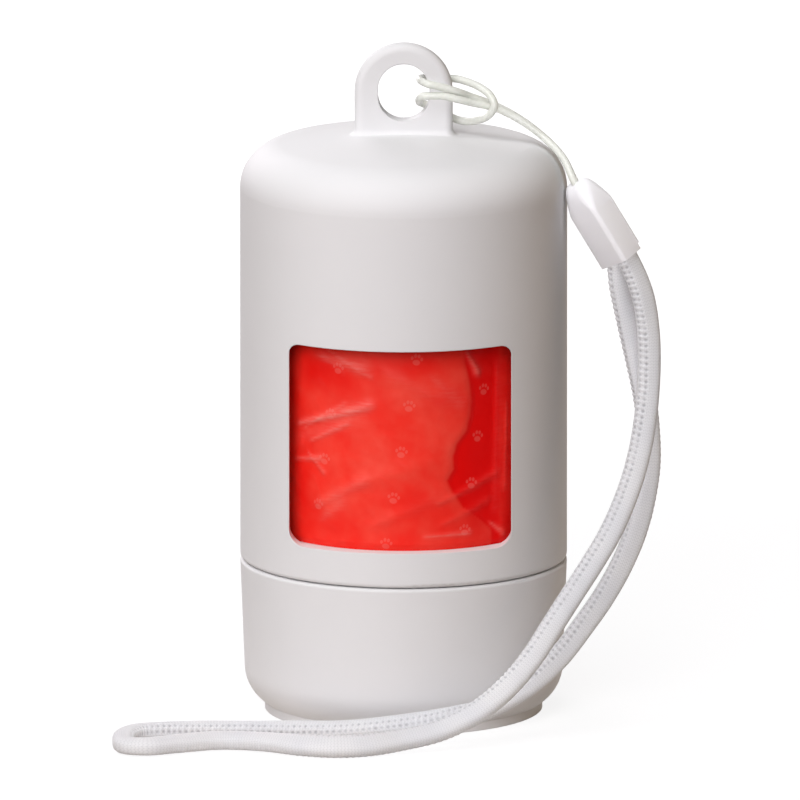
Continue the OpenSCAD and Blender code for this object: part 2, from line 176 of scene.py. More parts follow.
def addBump(tree, height, values):
    return addNode(tree, "ShaderNodeBump", {
        "Height": height, "Strength": values["bump"], "Distance": values["depth"]})


def objectPlace(tree):
    return addNode(tree, "ShaderNodeTexCoord").outputs["Object"]


def vertexMark(tree, name):
    return addNode(tree, "ShaderNodeAttribute", attribute_name=name).outputs["Fac"]


def seenRay(tree):
    # 1 for the rays that look at the backdrop: straight, in a reflection or through clear stuff
    path = addNode(tree, "ShaderNodeLightPath")
    seen = path.outputs["Is Camera Ray"]
    for name in ("Is Glossy Ray", "Is Transmission Ray"):
        seen = addMath(tree, "MAXIMUM", seen, path.outputs[name])
    return seen


stageValues = {
    "ambient": (1.0, 0.94, 0.86, 1), "ambientStrength": 0.035,
    "nearPaper": (0.62, 0.57, 0.52, 1), "farPaper": (0.13, 0.08, 0.04, 1),    # how the floor bounces light
    "nearTo": 0.04, "farFrom": 0.11,
    "shadowed": (0.20, 0.20, 0.205, 1),    # the share of the floor's look that a shadow can take away
    "glow": 0.86, "glowFrom": 0.12, "glowTo": 0.30,    # rises to 1 between these
    "floorHalf": 6.0, "floorCells": 8,
}


def mixSeen(tree, kind, unseen, seen):
    # one shader for the rays that light the object, and another for those that look at the backdrop
    mix = addNode(tree, "ShaderNodeMixShader", {
        "Fac": seenRay(tree), 1: unseen.outputs[0], 2: seen.outputs[0]})
    addNode(tree, kind, {"Surface": mix.outputs[0]})


def makeWorld(values):
    scene.world = bpy.data.worlds.new("studio")
    tree = emptyTree(scene.world)
    soft = addNode(tree, "ShaderNodeBackground", {
        "Color": values["ambient"], "Strength": values["ambientStrength"]})
    backdrop = addNode(tree, "ShaderNodeBackground", {"Color": white, "Strength": 1.0})
    mixSeen(tree, "ShaderNodeOutputWorld", soft, backdrop)


def makeFloor(values):
    bm = bmesh.new()
    cells = values["floorCells"]
    bmesh.ops.create_grid(bm, x_segments=cells, y_segments=cells, size=values["floorHalf"])
    floor = addObject("floor", addMesh("floor", bm))
    mat, tree = startMaterial("floorPaper")
    away = addNode(tree, "ShaderNodeVectorMath", {0: objectPlace(tree)}, operation="LENGTH").outputs["Value"]
    far = addRange(tree, away, values["nearTo"], values["farFrom"])
    paper = addNode(tree, "ShaderNodeBsdfDiffuse", {
        "Color": addMix(tree, far, values["nearPaper"], values["farPaper"])})
    shadowed = addNode(tree, "ShaderNodeBsdfDiffuse", {"Color": values["shadowed"]})
    rise = addRange(tree, away, values["glowFrom"], values["glowTo"], values["glow"], 1.0)
    glow = addNode(tree, "ShaderNodeEmission", {"Color": white, "Strength": rise})
    bright = addNode(tree, "ShaderNodeAddShader", {0: shadowed.outputs[0], 1: glow.outputs[0]})
    mixSeen(tree, "ShaderNodeOutputMaterial", paper, bright)
    floor.data.materials.append(mat)


makeWorld(stageValues)
makeFloor(stageValues)
scene.view_settings.view_transform = "Standard"
print("camera, lamps and floor made")

# Finishes


def closeMaterial(mat, inputs):
    # one Principled shader with these values and links
    shader = addNode(mat.node_tree, "ShaderNodeBsdfPrincipled", inputs)
    addNode(mat.node_tree, "ShaderNodeOutputMaterial", {"Surface": shader.outputs[0]})
    return mat


def milkyInputs(values):
    # light that goes a little way into the stuff
    return {
        "Transmission Weight": values["clear"], "Subsurface Weight": values["milky"],
        "Subsurface Scale": values["milkyReach"], "Subsurface Radius": (1.0, 1.0, 1.0)}


def twoTones(tree, cloud, low, high, values):
    # the finish's two colours, mixed by slow noise
    return addMix(tree, addRange(tree, cloud, low, high), values["colour"], values["second"])


def startGroup(name, inputs, outputs):
    # a shader node group with named sockets; inputs give their default values
    tree = bpy.data.node_groups.new(name, "ShaderNodeTree")
    for key, value in inputs.items():
        kind = "NodeSocketVector" if value is None else "NodeSocketFloat"
        made = tree.interface.new_socket(name=key, in_out="INPUT", socket_type=kind)
        if value is not None:
            made.default_value = value
    for key in outputs:
        tree.interface.new_socket(name=key, in_out="OUTPUT", socket_type="NodeSocketFloat")
    return tree, tree.nodes.new("NodeGroupInput").outputs


def closeGroup(tree, outputs):
    addNode(tree, "NodeGroupOutput", outputs)
    return tree


def placeGroup(tree, group, inputs):
    return addNode(tree, "ShaderNodeGroup", inputs, node_tree=group).outputs


def makeGrainGroup():
    # moulded skin: fine sparks from the tool and slow unevenness of the moulding
    tree, given = startGroup(
        "mouldedSkin", {"Grain Scale": 5000.0, "Cloud Scale": 90.0}, ("Height", "Cloud", "Speck"))
    place = objectPlace(tree)
    grain = addNoise(tree, place, given["Grain Scale"], 2.0, 0.6)
    cloud = addNoise(tree, place, given["Cloud Scale"], 3.0)
    return closeGroup(tree, {
        "Height": addMath(tree, "MULTIPLY_ADD", cloud, 3.0, grain), "Cloud": cloud, "Speck": grain})


mouldedSkin = makeGrainGroup()


def mouldedMaterial(name, values):
    mat, tree = startMaterial(name)
    skin = placeGroup(tree, mouldedSkin, {
        "Grain Scale": values["grainScale"], "Cloud Scale": values["cloudScale"]})
    bump = addBump(tree, skin["Height"], values)
    if values["softEdge"]:
        edge = addNode(tree, "ShaderNodeBevel", {"Radius": values["softEdge"]}, samples=6)
        tree.links.new(edge.outputs[0], bump.inputs["Normal"])
    return closeMaterial(mat, {
        "Base Color": twoTones(tree, skin["Cloud"], 0.3, 0.7, values),
        "Roughness": addMath(tree, "MULTIPLY_ADD", skin["Speck"], values["roughSpread"], values["roughness"]),
        "Normal": bump.outputs[0], "IOR": values["ior"], "Specular IOR Level": values["specular"],
        **milkyInputs(values)})


caseFinish = {
    "colour": (0.78, 0.78, 0.785, 1), "second": (0.76, 0.76, 0.765, 1),
    "roughness": 0.56, "roughSpread": 0.10, "grainScale": 6000.0, "cloudScale": 70.0,
    "bump": 0.25, "depth": 0.00001, "softEdge": 0.00022,
    "ior": 1.49, "specular": 0.18, "clear": 0.0, "milky": 0.0, "milkyReach": 0.001,
}
ferruleFinish = {
    "colour": (0.88, 0.88, 0.90, 1), "second": (0.85, 0.85, 0.88, 1),
    "roughness": 0.30, "roughSpread": 0.08, "grainScale": 4000.0, "cloudScale": 250.0,
    "bump": 0.15, "depth": 0.000008, "softEdge": 0.0,
    "ior": 1.5, "specular": 0.3, "clear": 0.05, "milky": 0.3, "milkyReach": 0.001,
}
casePlastic = mouldedMaterial("casePlastic", caseFinish)
ferrulePlastic = mouldedMaterial("ferrulePlastic", ferruleFinish)


def dressNode(name, mat):
    mesh = nodes[name].data
    mesh.materials.clear()
    mesh.materials.append(mat)


dressNode("housing", casePlastic)
dressNode("cap", casePlastic)
print("moulded pieces finished")


def finishPiece(name, bm, mat=None, body=None, smooth=True):
    mesh = addMesh(name, bm)
    if smooth:
        mesh.shade_smooth()
    piece = addObject(name, mesh)
    if mat:
        mesh.materials.append(mat)
    if body:
        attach(piece, body)
    return piece


ferruleValues = {
    "mouth": (0.0266, -0.0046, 0.0569), "lean": -31.0, "turn": -45.0,
    "halfWide": 2.45, "lowY": -1.80, "highY": 2.05, "length": 11.1,    # millimetres, in its own frame
    "drawFrom": 7.0, "draw": 1.7, "drawPower": 2.6,    # the narrowing top
    "edge": 0.6, "topEdge": 1.5,    # rounding of its long corners
    "topEdgeBy": 0.63,    # share of the narrowing by which they reach the top's
    "leastSide": 0.01,    # a flat that stays between two corners
    "split": 1.45, "splitGap": 0.02,    # where the lid meets the body
    "lidFrom": 0.75,    # the lid stops short of the mouth
    "seatHalf": (2.1, 1.45), "seatDeep": 5.2,
    "soften": 0.07,
    "softenOver": 50.0, "sharpOver": 38.0,    # degrees from which an edge is bevelled, and is drawn sharp
    "cornerSteps": 12, "sideSteps": 4, "straightRows": 9, "turnedRows": 26,
}


def roundedRow(halfX, halfY, radius, cornerSteps, sideSteps):
    # one closed row of points round a rounded rectangle
    row = []
    for k, (sx, sy) in enumerate([(1, 1), (-1, 1), (-1, -1), (1, -1)]):
        angles = np.radians(90 * k + np.linspace(0, 90, cornerSteps + 1))
        row.append(np.stack([
            sx * (halfX - radius) + radius * np.cos(angles),
            sy * (halfY - radius) + radius * np.sin(angles)], axis=1))
    points = []
    for k in range(4):
        points.extend(row[k])
        end, start = row[k][-1], row[(k + 1) % 4][0]
        points.extend(end + (start - end) * t for t in np.linspace(0, 1, sideSteps + 2)[1:-1])
    return np.array(points)


def closeHoles(bm):
    bmesh.ops.holes_fill(bm, edges=[e for e in bm.edges if e.is_boundary], sides=0)


def ferruleForm(values):
    # bmesh of the closed ferrule in its own frame, in millimetres
    drawn = values["length"] - values["drawFrom"]
    straight = np.linspace(0, values["drawFrom"], values["straightRows"])
    turned = values["drawFrom"] + drawn * np.sin(np.linspace(0, math.pi / 2, values["turnedRows"] + 1)[1:])
    rows = np.concatenate([straight, turned])
    halfY, midY = (values["highY"] - values["lowY"]) / 2, (values["highY"] + values["lowY"]) / 2
    places = []
    for s in rows:
        u = max(0.0, (s - values["drawFrom"]) / drawn)
        inset = values["draw"] * (1 - max(0.0, 1 - u ** values["drawPower"]) ** (1 / values["drawPower"]))
        ease = min(1.0, u / values["topEdgeBy"])
        radius = values["edge"] + (values["topEdge"] - values["edge"]) * ease * ease * (3 - 2 * ease)
        halfX, half = values["halfWide"] - inset, halfY - inset
        row = roundedRow(
            halfX, half, min(radius, half - values["leastSide"]), values["cornerSteps"], values["sideSteps"])
        places.append(np.column_stack([row + (0, midY), np.full(len(row), s)]))
    places = np.array(places)
    around = places.shape[1]
    bm = bmesh.new()
    bmesh.ops.create_grid(bm, x_segments=len(rows) - 1, y_segments=around, size=1.0)
    for v in bm.verts:
        i = round((v.co.x + 1) / 2 * (len(rows) - 1))
        v.co = places[i, round((v.co.y + 1) / 2 * around) % around]
    bmesh.ops.remove_doubles(bm, verts=bm.verts, dist=1e-6)
    closeHoles(bm)
    bmesh.ops.recalc_face_normals(bm, faces=bm.faces)
    return bm


def cutForm(bm, place, outward):
    # cut away what lies beyond a plane and close the cut
    bmesh.ops.bisect_plane(
        bm, geom=bm.verts[:] + bm.edges[:] + bm.faces[:], dist=1e-6, plane_co=place, plane_no=outward,
        clear_outer=True)
    closeHoles(bm)


def sinkSeat(bm, middle, size):
    # the same form with a block cut out of it
    block = bmesh.new()
    bmesh.ops.create_cube(block, size=1.0)
    bmesh.ops.scale(block, verts=block.verts, vec=size)
    bmesh.ops.translate(block, verts=block.verts, vec=middle)
    cutter = finishPiece("seatCutter", block, smooth=False)
    whole = finishPiece("seatBody", bm)
    cut = whole.modifiers.new("seat", "BOOLEAN")
    cut.operation, cut.solver, cut.object = "DIFFERENCE", "EXACT", cutter
    done = whole.evaluated_get(bpy.context.evaluated_depsgraph_get())
    sunk = bmesh.new()
    sunk.from_mesh(done.to_mesh())
    for part in (whole, cutter):
        bpy.data.objects.remove(part)
    return sunk


def placeFerrule(name, bm, values, node):
    # soften the cut edges and set the piece in its place
    bmesh.ops.dissolve_limit(bm, angle_limit=math.radians(0.05), verts=bm.verts, edges=bm.edges)
    cutOver = math.radians(values["softenOver"])
    sharp = [e for e in bm.edges if len(e.link_faces) == 2 and e.calc_face_angle() > cutOver]
    bmesh.ops.bevel(
        bm, geom=sharp, offset=values["soften"], offset_type="OFFSET", segments=2, profile=0.5,
        affect="EDGES", clamp_overlap=True, material=-1)
    bmesh.ops.scale(bm, verts=bm.verts, vec=(mm, mm, mm))
    leaned = Matrix.Rotation(math.radians(values["lean"]), 4, "Y")
    turned = leaned @ Matrix.Rotation(math.radians(values["turn"]), 4, "Z")
    bmesh.ops.transform(bm, matrix=Matrix.Translation(values["mouth"]) @ turned, verts=bm.verts)
    piece = finishPiece(name, bm, mat=ferrulePlastic, body="housing")
    piece.data.set_sharp_from_angle(angle=math.radians(values["sharpOver"]))
    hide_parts(node)
    return piece


def makeFerrule(values):
    wide, deep = values["seatHalf"]
    halfGap = values["splitGap"] / 2
    body = ferruleForm(values)
    cutForm(body, (0, values["split"] - halfGap, 0), (0, 1, 0))
    seatHigh, seatLow = values["split"] + 1.0, -deep    # the block stands out of the split and the mouth
    body = sinkSeat(
        body, (0, (seatHigh + seatLow) / 2, values["seatDeep"] / 2 - 0.5),
        (2 * wide, seatHigh - seatLow, values["seatDeep"] + 1.0))
    shell = placeFerrule("ferruleBody", body, values, "ferrule_body")
    lid = ferruleForm(values)
    cutForm(lid, (0, values["split"] + halfGap, 0), (0, -1, 0))
    cutForm(lid, (0, 0, values["lidFrom"]), (0, 0, -1))
    cover = placeFerrule("ferruleLid", lid, values, "ferrule_lid")
    print("ferrule:", len(shell.data.polygons) + len(cover.data.polygons), "faces")


makeFerrule(ferruleValues)

# Route of the wrist strap: each point, and the way its flat side faces there
strapRoute = [
    ((0.0249, -0.0053, 0.0612), (0.6, -0.7, 0.35)),
    ((0.0272, -0.0053, 0.0573), (0.6, -0.7, 0.35)),
    ((0.0292, -0.0056, 0.0525), (0.5, -0.8, 0.3)),
    ((0.0298, -0.0059, 0.0489), (0.4, -0.9, 0.2)),
    ((0.0300, -0.0064, 0.0453), (0.3, -1, 0.2)),
    ((0.0299, -0.0070, 0.0417), (0.2, -1, 0.1)),
    ((0.0296, -0.0078, 0.0383), (0.1, -1, 0.1)),
    ((0.0290, -0.0087, 0.0345), (0, -1, 0.1)),
    ((0.0281, -0.0097, 0.0310), (0, -1, 0.2)),
    ((0.0268, -0.0109, 0.0275), (0, -1, 0.3)),
    ((0.0251, -0.0123, 0.0240), (0, -1, 0.3)),
    ((0.0229, -0.0140, 0.0206), (0, -1, 0.4)),
    ((0.0205, -0.0158, 0.0172), (0.1, -1, 0.5)),
    ((0.0181, -0.0178, 0.0138), (0.1, -1, 0.6)),
    ((0.0159, -0.0198, 0.0107), (0.1, -1, 0.7)),
    ((0.0132, -0.0218, 0.0077), (0.1, -0.9, 0.8)),
    ((0.0097, -0.0236, 0.0049), (0.1, -0.7, 0.9)),
    ((0.0046, -0.0253, 0.0025), (0.1, -0.5, 0.8)),
    ((-0.0005, -0.0271, 0.0016), (0, -0.6, 0.8)),
    ((-0.0042, -0.0289, 0.0014), (0, -0.7, 0.7)),
    ((-0.0083, -0.0298, 0.0014), (0, -0.7, 0.7)),
    ((-0.0127, -0.0288, 0.0014), (0, -0.6, 0.8)),
    ((-0.0166, -0.0267, 0.0013), (0, -0.3, 1)),
    ((-0.0225, -0.0253, 0.0012), (0, -0.2, 1)),
    ((-0.0276, -0.0272, 0.0012), (0, -0.2, 1)),
    ((-0.0316, -0.0288, 0.0012), (0, -0.1, 1)),
    ((-0.0336, -0.0279, 0.0011), (0, 0, 1)),
    ((-0.0341, -0.0251, 0.0011), (0, 0, 1)),
    ((-0.0339, -0.0227, 0.0011), (0, 0, 1)),
    ((-0.0324, -0.0202, 0.0011), (0, 0, 1)),
    ((-0.0296, -0.0193, 0.0011), (0, 0, 1)),
    ((-0.0250, -0.0188, 0.0011), (0, -0.1, 1)),
    ((-0.0190, -0.0188, 0.0011), (0, -0.1, 1)),
    ((-0.0130, -0.0193, 0.0012), (0, -0.2, 1)),
    ((-0.0080, -0.0204, 0.0014), (0, -0.3, 1)),
    ((-0.0035, -0.0213, 0.0019), (0, -0.4, 0.9)),
    ((0.0010, -0.0217, 0.0025), (0.1, -0.5, 0.8)),
    ((0.0055, -0.0213, 0.0031), (0.2, -0.6, 0.8)),
    ((0.0096, -0.0201, 0.0038), (0.3, -0.6, 0.8)),
    ((0.0130, -0.0182, 0.0051), (0.3, -0.7, 0.7)),
    ((0.0160, -0.0168, 0.0069), (0.3, -0.8, 0.6)),
    ((0.0190, -0.0150, 0.0094), (0.3, -0.9, 0.5)),
    ((0.0219, -0.0130, 0.0128), (0.3, -0.9, 0.4)),
    ((0.0246, -0.0109, 0.0163), (0.3, -0.9, 0.3)),
    ((0.0267, -0.0092, 0.0198), (0.3, -0.9, 0.2)),
    ((0.0283, -0.0078, 0.0234), (0.3, -0.9, 0.1)),
    ((0.0294, -0.0067, 0.0274), (0.3, -0.9, 0.1)),
    ((0.0300, -0.0059, 0.0316), (0.3, -0.9, 0)),
    ((0.0299, -0.0053, 0.0358), (0.3, -0.9, 0)),
    ((0.0294, -0.0049, 0.0400), (0.3, -0.9, 0.1)),
    ((0.0284, -0.0044, 0.0446), (0.4, -0.9, 0.1)),
    ((0.0273, -0.0041, 0.0493), (0.5, -0.8, 0.2)),
    ((0.0264, -0.0040, 0.0534), (0.6, -0.7, 0.3)),
    ((0.0260, -0.0039, 0.0565), (0.6, -0.7, 0.35)),
    ((0.0236, -0.0039, 0.0605), (0.6, -0.7, 0.35)),
]

# Route of the hitch cord, from the knot round the tab's limb and home again
hitchRoute = [
    (0.0218, -0.0041, 0.0649), (0.0208, -0.0040, 0.0666), (0.0196, -0.0021, 0.0687),
    (0.0173, 0.0000, 0.0709), (0.0141, 0.0006, 0.0733), (0.0114, 0.0006, 0.0748),
    (0.0083, 0.0000, 0.0761), (0.0064, -0.0015, 0.0771), (0.0046, -0.0019, 0.0777),
    (0.0029, -0.0019, 0.0781), (0.0022, -0.0012, 0.0783), (0.0020, 0.0000, 0.0783),
    (0.0022, 0.0012, 0.0782), (0.0030, 0.0019, 0.0781), (0.0046, 0.0019, 0.0780),
    (0.0064, 0.0018, 0.0780), (0.0080, 0.0010, 0.0777), (0.0094, -0.0003, 0.0773),
    (0.0106, -0.0013, 0.0765), (0.0111, -0.0018, 0.0754), (0.0104, -0.0013, 0.0741),
    (0.0089, -0.0001, 0.0732), (0.0069, 0.0014, 0.0729), (0.0050, 0.0019, 0.0736),
    (0.0033, 0.0020, 0.0745), (0.0021, 0.0015, 0.0751), (0.0019, 0.0002, 0.0755),
    (0.0019, -0.0009, 0.0760), (0.0022, -0.0017, 0.0765), (0.0034, -0.0019, 0.0766),
    (0.0048, -0.0019, 0.0766), (0.0065, -0.0019, 0.0762), (0.0084, -0.0011, 0.0756),
    (0.0113, -0.0005, 0.0748), (0.0141, -0.0005, 0.0734), (0.0173, -0.0009, 0.0711),
    (0.0196, -0.0031, 0.0689), (0.0208, -0.0050, 0.0666), (0.0218, -0.0051, 0.0649),
]


def smoothRoute(stops, step):
    # a smooth curve through the stops, with its points one step apart
    knots = np.array(stops, float)
    gaps = np.linalg.norm(np.diff(knots[:, :3], axis=0), axis=1)
    at = np.concatenate([[0], np.cumsum(gaps)])
    slopes = np.gradient(knots, at, axis=0)
    fine = np.linspace(0, at[-1], int(at[-1] / step) * 4)
    i = np.clip(np.searchsorted(at, fine, side="right") - 1, 0, len(at) - 2)
    h = (at[i + 1] - at[i])[:, None]
    t = ((fine - at[i]) / (at[i + 1] - at[i]))[:, None]
    line = (
        (2 * t**3 - 3 * t**2 + 1) * knots[i] + (t**3 - 2 * t**2 + t) * h * slopes[i]
        + (3 * t**2 - 2 * t**3) * knots[i + 1] + (t**3 - t**2) * h * slopes[i + 1])
    along = distanceAlong(line)
    even = np.linspace(0, along[-1], int(round(along[-1] / step)) + 1)
    return np.stack([np.interp(even, along, line[:, k]) for k in range(line.shape[1])], axis=1), along[-1]


def distanceAlong(line):
    steps = np.linalg.norm(np.diff(line[:, :3], axis=0), axis=1)
    return np.concatenate([[0], np.cumsum(steps)])


def unitRows(rows):
    return rows / np.linalg.norm(rows, axis=1)[:, None]


def facedFrames(line, facing):
    # sideways and outward directions of a flat strap
    along = unitRows(np.gradient(line, axis=0))
    side = unitRows(np.cross(facing, along))
    return side, np.cross(along, side)


def carriedFrames(line, first):
    # sideways and outward directions of a round cord, turned as little as possible
    along = unitRows(np.gradient(line, axis=0))
    side = np.zeros_like(line)
    here = np.array(first, float)
    for i, t in enumerate(along):
        here = here - t * here.dot(t)
        here /= np.linalg.norm(here)
        side[i] = here
    return side, np.cross(along, side)


def tubeOutline(width, thickness, power, stops):
    # closed outlines of a flattened tube, one for each row of stops (shares of the way round), and its girth
    a = np.linspace(0, 2 * math.pi, 8001)
    c, s = np.cos(a), np.sin(a)
    x = width / 2 * np.sign(c) * np.abs(c) ** (2 / power)
    y = thickness / 2 * np.sign(s) * np.abs(s) ** (2 / power)
    along = distanceAlong(np.stack([x, y], axis=1))
    at = (stops % 1.0) * along[-1]
    return np.stack([np.interp(at, along, x), np.interp(at, along, y)], axis=-1), along[-1]


def tubePiece(name, line, side, up, outlines, stops, relief, pattern):
    # a closed tube along a line, with relief on its skin and a UV map: share round it, metres along it
    rings, around = len(line), outlines.shape[1]
    step = np.roll(outlines, -1, axis=1) - np.roll(outlines, 1, axis=1)
    normal = np.stack([step[..., 1], -step[..., 0]], axis=-1)
    normal = normal / np.linalg.norm(normal, axis=-1)[..., None]
    skin = outlines + normal * relief[..., None]
    bm = bmesh.new()
    uvLayer = bm.loops.layers.uv.new("UVMap")
    # depth of the strap's holes and the cord's grooves; the finishes darken these with painted shade
    markLayer = bm.verts.layers.float.new("pit")
    bmesh.ops.create_grid(bm, x_segments=rings - 1, y_segments=around, size=1.0)
    places = [(round((v.co.x + 1) / 2 * (rings - 1)), round((v.co.y + 1) / 2 * around)) for v in bm.verts]
    i, j = np.array(places).T
    flat = skin[i, j % around]
    marks = pattern[i, j % around]
    spots = line[i] + side[i] * flat[:, :1] + up[i] * flat[:, 1:]
    length = distanceAlong(line)
    share = np.append(stops, 1.0)
    for face in bm.faces:
        for loop in face.loops:
            k, m = places[loop.vert.index]
            loop[uvLayer].uv = (share[m], length[k])
    for v, spot, mark in zip(bm.verts, spots, marks):
        v.co = spot
        v[markLayer] = mark
    bmesh.ops.remove_doubles(bm, verts=bm.verts, dist=1e-8)
    closeHoles(bm)
    bmesh.ops.recalc_face_normals(bm, faces=bm.faces)
    return finishPiece(name, bm)


strapValues = {
    "width": 0.0028, "thickness": 0.002, "power": 2.7,
    "stitch": 0.00074,    # pitch of the open stitches along it
    "perStitch": 6,    # rings in one stitch
    "dense": 22, "plain": 22,    # points round it: in the open band, and over the rest
    "bandHalf": 0.00092,    # half width of the open band
    "rowAt": 0.00045,    # distance of its two rows of holes from its middle
    "rowLag": 0.10,    # the two rows' shift along it, in stitches
    "holeHalf": 0.00022, "toothHalf": 0.0006, "toothLag": 0.4,
    "pitDepth": 0.00018, "rungRise": 0.00005, "toothRise": 0.00003, "ribRise": 0.000012,
    "ribs": 12,    # ribs round it, two to a stitch
    "leastPull": 0.6, "pullSeed": 3,
}

# where the open band's middle lies: stop of the route, and millimetres from the inner edge to the outer face
bandTurns = [
    (0, 0.1), (2, 0.3), (3, 0.75), (5, 1.05), (12, 1.1), (15, 0.75), (18, 0.45), (22, 0.3), (28, 0.55),
    (33, 0.65), (36, 1.5), (38, 2.5), (40, 2.8), (42, 3.0), (44, 3.6), (46, 4.3), (54, 4.3),
]


def bandStops(values, girth):
    # shares of the way round, closer together in the open band opposite the start
    half = values["bandHalf"] / girth
    dense = np.linspace(0.5 - half, 0.5 + half, values["dense"] + 1)
    plain = np.linspace(0.5 + half, 1.5 - half, values["plain"] + 1)[1:-1]
    return np.sort(np.concatenate([dense, plain]) % 1.0)


def knitRelief(values, stops, girth, rings):
    # height of the knit's skin and the depth of its holes, ring by ring
    k = np.arange(rings)[:, None] / values["perStitch"]
    away = (stops[None, :] - 0.5) * girth
    far = np.abs((stops[None, :] + 0.5) % 1.0 - 0.5) * girth
    beat = k + values["rowLag"] * np.sign(away)
    # no two stitches are pulled quite alike
    draw = np.random.default_rng(values["pullSeed"])
    pull = draw.uniform(values["leastPull"], 1.0, (int(rings / values["perStitch"]) + 2, 2))
    pull = pull[np.clip(beat, 0, None).astype(int), (away > 0).astype(int)]
    row = np.exp(-((np.abs(away) - values["rowAt"]) / values["holeHalf"]) ** 2)
    hole = row * (0.5 - 0.5 * np.cos(2 * math.pi * beat)) ** 1.2 * pull
    inside = np.exp(-(away / (values["rowAt"] * 0.85)) ** 4)
    rung = inside * np.cos(2 * math.pi * k)
    tooth = np.exp(-(far / values["toothHalf"]) ** 2) * np.cos(2 * math.pi * (k + values["toothLag"]))
    rib = np.cos(2 * math.pi * (2 * k + values["ribs"] * stops[None, :]))
    height = (
        values["rungRise"] * rung + values["toothRise"] * tooth + values["ribRise"] * rib
        - values["pitDepth"] * hole)
    return height, hole


def makeStrap(values):
    form = (values["width"], values["thickness"], values["power"])
    line, length = smoothRoute([(*p, *f) for p, f in strapRoute], values["stitch"] / values["perStitch"])
    side, up = facedFrames(line[:, :3], line[:, 3:])
    girth = tubeOutline(*form, np.zeros(1))[1]
    stops = bandStops(values, girth)
    stopAt = distanceAlong(np.array([p for p, _ in strapRoute]))
    turnAt = stopAt[[k for k, _ in bandTurns]] / stopAt[-1]
    turn = np.interp(np.linspace(0, 1, len(line)), turnAt, [turn * mm for _, turn in bandTurns]) / girth
    outlines = tubeOutline(*form, stops[None, :] - turn[:, None])[0]
    relief, holes = knitRelief(values, stops, girth, len(line))
    piece = tubePiece("knittedStrap", line[:, :3], side, up, outlines, stops, relief, holes)
    print("strap:", round(length, 4), "m,", len(piece.data.vertices), "points")
    return piece, line[:, :3], length


strap, strapLine, strapLength = makeStrap(strapValues)

hitchValues = {
    "diameter": 0.00095, "around": 16, "step": 0.00018,
    "lay": 0.0021, "strands": 3, "relief": 0.000005,    # its strands, and the length of their turn
}


def twistRelief(values, rings):
    turn = np.arange(rings)[:, None] * values["step"] / values["lay"]
    turn = turn + np.arange(values["around"])[None, :] / values["around"]
    wave = np.abs(np.cos(math.pi * turn * values["strands"]))
    return values["relief"] * (wave - 0.7), 1 - wave


def makeHitch(values):
    line, length = smoothRoute(hitchRoute, values["step"])
    side, up = carriedFrames(line, (0, 1, 0))
    stops = np.linspace(0, 1, values["around"] + 1)[:-1]
    outlines = tubeOutline(
        values["diameter"], values["diameter"], 2, np.repeat(stops[None, :], len(line), axis=0))[0]
    relief, grooves = twistRelief(values, len(line))
    print("hitch cord:", round(length, 4), "m")
    return tubePiece("hitchCord", line, side, up, outlines, stops, relief, grooves), line, length


hitch, hitchLine, hitchLength = makeHitch(hitchValues)

for piece, node, slotName in ((strap, "wrist_strap", "strap_knit"), (hitch, "hitch_cord", "hitch_nylon")):
    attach(piece, "housing")
    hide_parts(node)


stitchValues = {
    "slope": 0.9,    # how far a V's arms run down, in stitches
    "arch": 3.6,    # how round an arm's back is
    "valleyPower": 6.0, "spinePower": 8.0, "sink": 0.6,    # the dips between columns and along a V's middle
    "hairs": 38.0, "hairRise": 0.05,
}


def makeKnitGroup(values):
    # columns of V stitches from a UV map: share round the strap, metres along it
    tree, given = startGroup(
        "vStitches", {"Vector": None, "Columns": 18.0, "Pitch": 0.00035}, ("Height", "Yarn"))
    calc = partial(addMath, tree)
    cut = addNode(tree, "ShaderNodeSeparateXYZ", {0: given["Vector"]}).outputs
    columns = calc("MULTIPLY", cut[0], given["Columns"])
    across = calc("ABSOLUTE", calc("SUBTRACT", calc("FRACT", columns), 0.5))
    rows = calc("MULTIPLY_ADD", across, -values["slope"], calc("DIVIDE", cut[1], given["Pitch"]))
    arm = calc("ABSOLUTE", calc("SUBTRACT", calc("FRACT", rows), 0.5))
    flank = calc("MULTIPLY", calc("MULTIPLY", arm, arm), values["arch"])
    loopRound = calc("SQRT", calc("SUBTRACT", 1.0, flank))
    valley = calc("POWER", calc("MULTIPLY", across, 2.0), values["valleyPower"])
    spine = calc("POWER", calc("SUBTRACT", 1.0, calc("MULTIPLY", across, 2.0)), values["spinePower"])
    sunk = calc("MULTIPLY_ADD", calc("ADD", valley, spine), -values["sink"], loopRound)
    hair = calc("SINE", calc("MULTIPLY", rows, values["hairs"]))
    return closeGroup(tree, {"Height": calc("MULTIPLY_ADD", hair, values["hairRise"], sunk), "Yarn": sunk})


vStitches = makeKnitGroup(stitchValues)


def knitMaterial(values):
    mat, tree = startMaterial("knittedYarn")
    onStrap = addNode(tree, "ShaderNodeUVMap", uv_map="UVMap").outputs[0]
    knit = placeGroup(tree, vStitches, {
        "Vector": onStrap, "Columns": values["columns"], "Pitch": values["pitch"]})
    fuzz = addNoise(tree, objectPlace(tree), values["fuzzScale"], 3.0)
    patches = addNoise(tree, objectPlace(tree), values["patchScale"], 2.0)
    tone = twoTones(tree, patches, 0.35, 0.65, values)
    # painted shade: the yarn is darkened in the dips between its columns, along a V's middle and in the open
    # band's holes
    gap = addRange(tree, knit["Yarn"], 0.1, 0.8, values["gapShade"], 0.0)
    tone = addMix(tree, gap, tone, values["paintedShade"])
    tone = addMix(tree, addRange(tree, vertexMark(tree, "pit"), 0.15, 0.8), tone, values["paintedShade"])
    height = addMath(tree, "MULTIPLY_ADD", fuzz, values["fuzz"], knit["Height"])
    return closeMaterial(mat, {
        "Base Color": tone, "Normal": addBump(tree, height, values).outputs[0],
        "Roughness": addRange(tree, fuzz, 0.3, 0.7, *values["roughness"]),
        "Specular IOR Level": values["specular"], "Sheen Weight": values["sheen"],
        "Sheen Roughness": values["sheenRoughness"], **milkyInputs(values)})


